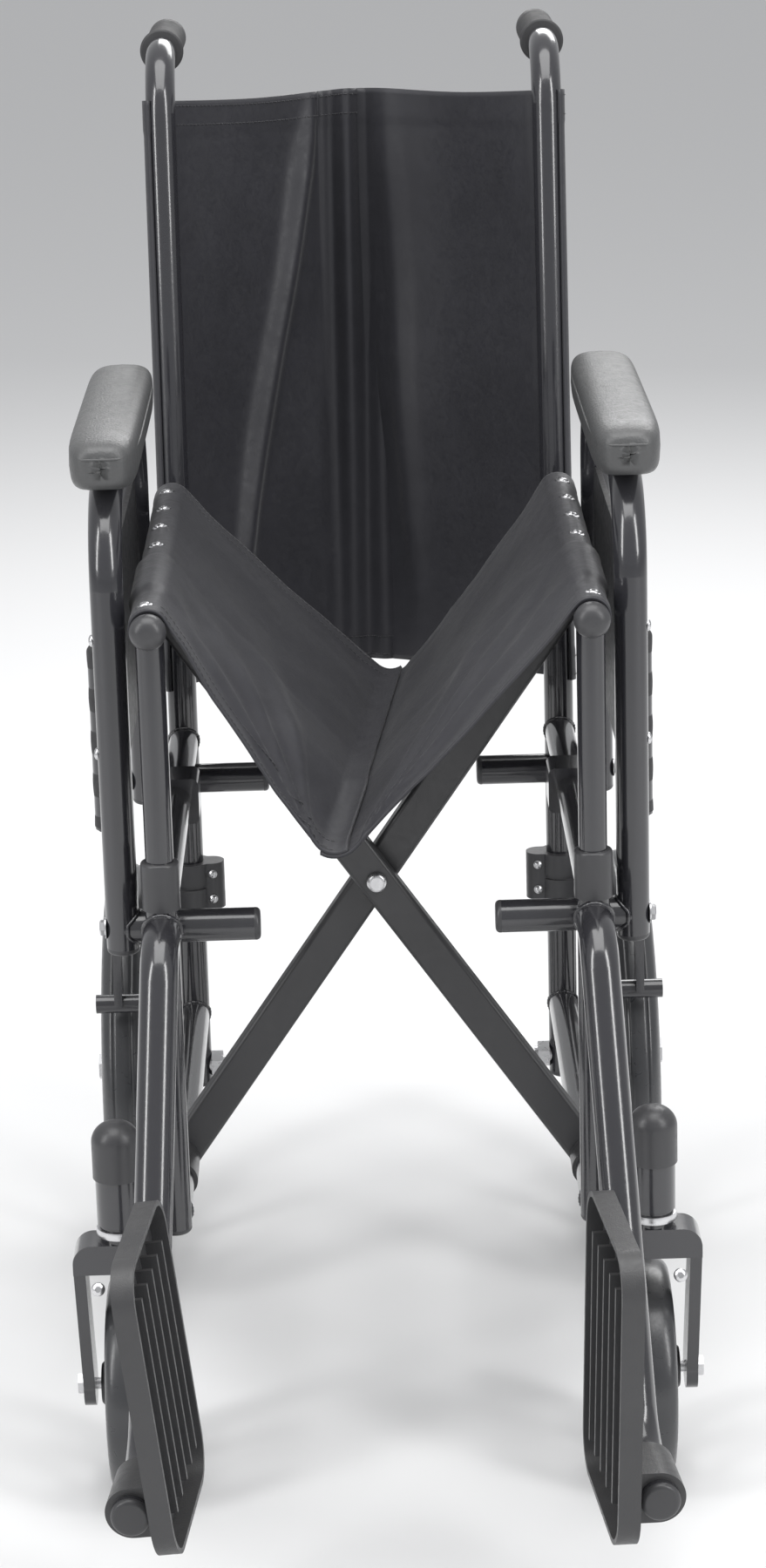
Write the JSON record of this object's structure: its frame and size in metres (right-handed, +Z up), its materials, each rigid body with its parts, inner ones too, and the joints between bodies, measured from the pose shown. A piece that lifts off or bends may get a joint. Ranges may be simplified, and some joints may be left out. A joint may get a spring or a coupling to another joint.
{
  "type": "transport wheelchair",
  "caption": "Folding transport wheelchair with cross brace, sling seat and back, fixed arms, flip-up footplates, swivel casters and rear wheels with locks.",
  "frame": {"origin": "on the floor under the middle of the chair's bounding box, partly folded", "axes": "+Z up, +X to the viewer's right in a front view (the sitter's left side), -Y is the way the chair faces"},
  "size_m": [0.4426, 0.932, 0.9515],
  "materials": {
    "black_paint": "gloss",
    "grip_rubber": "matte",
    "pad_vinyl": "satin vinyl",
    "panel_plastic": "matte",
    "cap_plastic": "satin",
    "zinc": "zinc plated",
    "wheel_plastic": "satin",
    "tyre": "smooth solid",
    "sling_cloth": "coated nylon",
    "plate_plastic": "ribbed satin"
  },
  "bodies": {
    "frame_left": {"back_cane_left": "black_paint", "push_grip_left": "grip_rubber", "front_post_left": "black_paint", "upper_rail_left": "black_paint", "lower_rail_left": "black_paint", "stub_tubes_left": "black_paint", "arm_frame_left": "black_paint", "armrest_pad_left": "pad_vinyl", "side_panel_left": "panel_plastic", "frame_caps_left": "cap_plastic", "caster_housing_left": "black_paint", "post_clamp_left": "cap_plastic", "rear_axle_left": "zinc", "hanger_left": "black_paint", "lock_bracket_left": "black_paint"},
    "caster_left": {"caster_fork_left": "black_paint", "caster_axle_left": "zinc"},
    "caster_roller_left": {"caster_wheel_left": "wheel_plastic", "caster_tyre_left": "tyre"},
    "rear_roller_left": {"rear_wheel_left": "wheel_plastic", "rear_tyre_left": "tyre"},
    "seat_side_left": {"seat_rail_left": "black_paint", "seat_rail_plugs_left": "cap_plastic", "seat_screws_left": "zinc"},
    "seat_cloth_left": {"seat_half_left": "sling_cloth"},
    "back_cloth_left": {"back_half_left": "sling_cloth"},
    "foot_left": {"footplate_left": "plate_plastic"},
    "lock_left": {"lock_lever_left": "black_paint"},
    "frame_right": {"back_cane_right": "black_paint", "push_grip_right": "grip_rubber", "front_post_right": "black_paint", "upper_rail_right": "black_paint", "lower_rail_right": "black_paint", "stub_tubes_right": "black_paint", "arm_frame_right": "black_paint", "armrest_pad_right": "pad_vinyl", "side_panel_right": "panel_plastic", "frame_caps_right": "cap_plastic", "caster_housing_right": "black_paint", "post_clamp_right": "cap_plastic", "rear_axle_right": "zinc", "hanger_right": "black_paint", "lock_bracket_right": "black_paint"},
    "caster_right": {"caster_fork_right": "black_paint", "caster_axle_right": "zinc"},
    "caster_roller_right": {"caster_wheel_right": "wheel_plastic", "caster_tyre_right": "tyre"},
    "rear_roller_right": {"rear_wheel_right": "wheel_plastic", "rear_tyre_right": "tyre"},
    "seat_side_right": {"seat_rail_right": "black_paint", "seat_rail_plugs_right": "cap_plastic", "seat_screws_right": "zinc"},
    "seat_cloth_right": {"seat_half_right": "sling_cloth"},
    "back_cloth_right": {"back_half_right": "sling_cloth"},
    "foot_right": {"footplate_right": "plate_plastic"},
    "lock_right": {"lock_lever_right": "black_paint"},
    "cross_left": {"brace_left": "black_paint", "brace_bolt": "zinc", "brace_washer": "zinc"},
    "cross_right": {"brace_right": "black_paint"}
  },
  "joints": [
    {"name": "frame_fold", "type": "hinge", "parent": "frame_left", "child": "cross_left", "pos_m": [-0.144, -0.06227, 0.203], "axis": [0, -1, 0], "range_deg": [-23.5, 17.8]},
    {"name": "brace_scissor", "type": "hinge", "parent": "cross_left", "child": "cross_right", "pos_m": [0, -0.06227, 0.41], "axis": [0, -1, 0], "range_deg": [-35.8, 47.2]},
    {"name": "right_frame_pivot", "type": "hinge", "parent": "cross_right", "child": "frame_right", "pos_m": [0.144, -0.06227, 0.203], "axis": [0, -1, 0], "range_deg": [-23.7, 18]},
    {"name": "right_seat_pivot", "type": "hinge", "parent": "cross_left", "child": "seat_side_right", "pos_m": [0.144, -0.06227, 0.617], "axis": [0, -1, 0], "range_deg": [-18, 23.7]},
    {"name": "left_seat_pivot", "type": "hinge", "parent": "cross_right", "child": "seat_side_left", "pos_m": [-0.144, -0.06227, 0.617], "axis": [0, -1, 0], "range_deg": [-23.7, 18]},
    {"name": "left_seat_sag", "type": "hinge", "parent": "seat_side_left", "child": "seat_cloth_left", "pos_m": [-0.144, -0.06227, 0.617], "axis": [0, 1, 0], "range_deg": [-30.75, 23.34]},
    {"name": "right_seat_sag", "type": "hinge", "parent": "seat_side_right", "child": "seat_cloth_right", "pos_m": [0.144, -0.06227, 0.617], "axis": [0, -1, 0], "range_deg": [-30.75, 23.34]},
    {"name": "left_back_sag", "type": "hinge", "parent": "frame_left", "child": "back_cloth_left", "pos_m": [-0.144, 0.24273, 0.458], "axis": [0, 0.1253, 0.9921], "range_deg": [-30.75, 23.34]},
    {"name": "right_back_sag", "type": "hinge", "parent": "frame_right", "child": "back_cloth_right", "pos_m": [0.144, 0.24273, 0.458], "axis": [0, -0.1253, -0.9921], "range_deg": [-30.75, 23.34]},
    {"name": "left_caster_swivel", "type": "hinge", "parent": "frame_left", "child": "caster_left", "pos_m": [-0.18, -0.19227, 0.212], "axis": [0, 0, 1], "continuous": true},
    {"name": "left_caster_spin", "type": "hinge", "parent": "caster_left", "child": "caster_roller_left", "pos_m": [-0.18, -0.15627, 0.076], "axis": [1, 0, 0], "continuous": true},
    {"name": "left_wheel_spin", "type": "hinge", "parent": "frame_left", "child": "rear_roller_left", "pos_m": [-0.193, 0.24273, 0.159], "axis": [1, 0, 0], "continuous": true},
    {"name": "left_footplate_flip", "type": "hinge", "parent": "frame_left", "child": "foot_left", "pos_m": [-0.16559, -0.42093, 0.11], "axis": [-0.0958, -0.9954, 0], "range_deg": [-96.5, 0]},
    {"name": "left_wheel_lock", "type": "hinge", "parent": "frame_left", "child": "lock_left", "pos_m": [-0.193, 0.09273, 0.33], "axis": [1, 0, 0], "range_deg": [0, 24]},
    {"name": "right_caster_swivel", "type": "hinge", "parent": "frame_right", "child": "caster_right", "pos_m": [0.18, -0.19227, 0.212], "axis": [0, 0, 1], "continuous": true},
    {"name": "right_caster_spin", "type": "hinge", "parent": "caster_right", "child": "caster_roller_right", "pos_m": [0.18, -0.15627, 0.076], "axis": [1, 0, 0], "continuous": true},
    {"name": "right_wheel_spin", "type": "hinge", "parent": "frame_right", "child": "rear_roller_right", "pos_m": [0.193, 0.24273, 0.159], "axis": [1, 0, 0], "continuous": true},
    {"name": "right_footplate_flip", "type": "hinge", "parent": "frame_right", "child": "foot_right", "pos_m": [0.16559, -0.42093, 0.11], "axis": [-0.0958, 0.9954, 0], "range_deg": [-91.5, 0]},
    {"name": "right_wheel_lock", "type": "hinge", "parent": "frame_right", "child": "lock_right", "pos_m": [0.193, 0.09273, 0.33], "axis": [1, 0, 0], "range_deg": [0, 24]}
  ],
  "couplings": [
    {"joint": "brace_scissor", "follows": "frame_fold", "ratio": -2},
    {"joint": "right_frame_pivot", "follows": "frame_fold", "ratio": 1},
    {"joint": "right_seat_pivot", "follows": "frame_fold", "ratio": -1},
    {"joint": "left_seat_pivot", "follows": "frame_fold", "ratio": 1},
    {"joint": "left_seat_sag", "follows": "frame_fold", "ratio": 1.3},
    {"joint": "right_seat_sag", "follows": "frame_fold", "ratio": 1.3},
    {"joint": "left_back_sag", "follows": "frame_fold", "ratio": 1.3},
    {"joint": "right_back_sag", "follows": "frame_fold", "ratio": 1.3}
  ]
}
